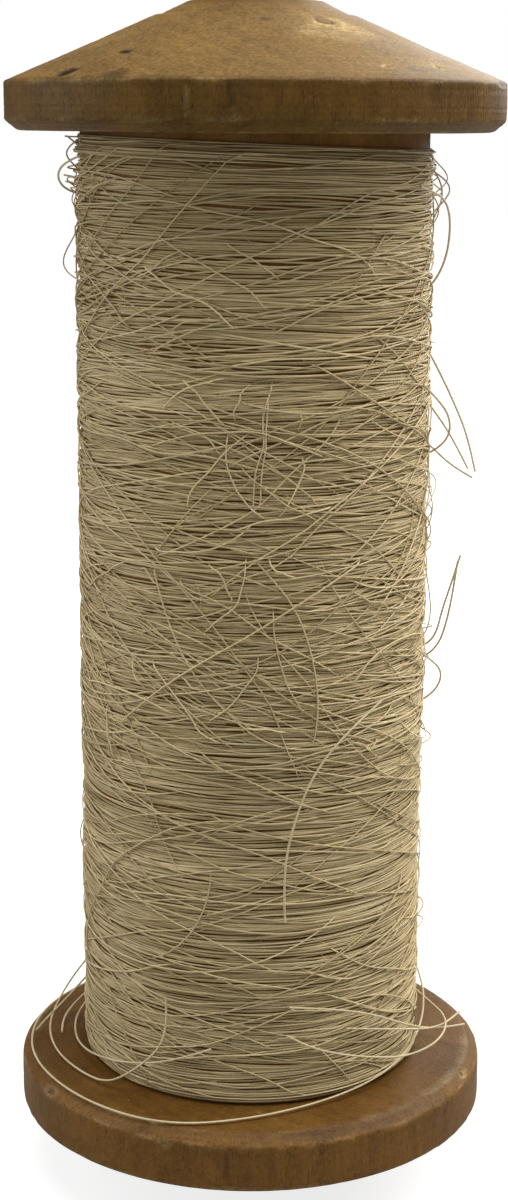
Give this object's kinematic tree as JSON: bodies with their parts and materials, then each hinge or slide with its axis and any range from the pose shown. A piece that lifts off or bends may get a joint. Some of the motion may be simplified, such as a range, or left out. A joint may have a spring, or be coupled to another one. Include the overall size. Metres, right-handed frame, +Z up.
{
  "type": "wound wooden bobbin",
  "caption": "Turned wooden textile bobbin with thick conical-backed disc heads and a wide barrel, wound with a thin layer of coarse pale plant-fibre yarn with loops and stray ends.",
  "frame": {"origin": "centre of the lower hub's end face, which the bobbin stands on", "axes": "+Z up along the spindle axis from the lower head to the upper head; -Y is the front; +X is the right seen from the front"},
  "size_m": [0.09, 0.09, 0.2218],
  "materials": {
    "barrel_wood": "old oiled hardwood, turned",
    "upper_head_wood": "old varnished hardwood, worn and handled",
    "lower_head_wood": "old varnished hardwood, worn and handled",
    "nail_steel": "darkened, lightly rusted",
    "bush_brass": "dulled, worn bright in the bore",
    "pin_steel": "darkened",
    "wound_yarn": "stiff, slightly glossy plant fibre",
    "loose_yarn": "stiff, slightly glossy plant fibre"
  },
  "bodies": {
    "root": {"barrel": "barrel_wood", "upper_head": "upper_head_wood", "lower_head": "lower_head_wood", "upper_head_nails": "nail_steel", "lower_head_nails": "nail_steel", "upper_bush": "bush_brass", "lower_bush": "bush_brass", "upper_bush_pins": "pin_steel", "lower_bush_pins": "pin_steel", "yarn_package": "wound_yarn", "slack_turn": "loose_yarn", "left_loop": "loose_yarn", "inner_left_loop": "loose_yarn", "left_tail": "loose_yarn", "left_tail_inner": "loose_yarn", "right_tail": "loose_yarn", "right_tail_short": "loose_yarn", "right_loop": "loose_yarn", "front_end": "loose_yarn", "low_right_bow": "loose_yarn", "tuft_end": "loose_yarn", "tuft_end_outer": "loose_yarn", "mid_right_tail": "loose_yarn", "mid_right_outer": "loose_yarn", "mid_right_end": "loose_yarn", "mid_right_bow": "loose_yarn", "upper_right_bow": "loose_yarn", "upper_left_bow": "loose_yarn"}
  },
  "joints": []
}
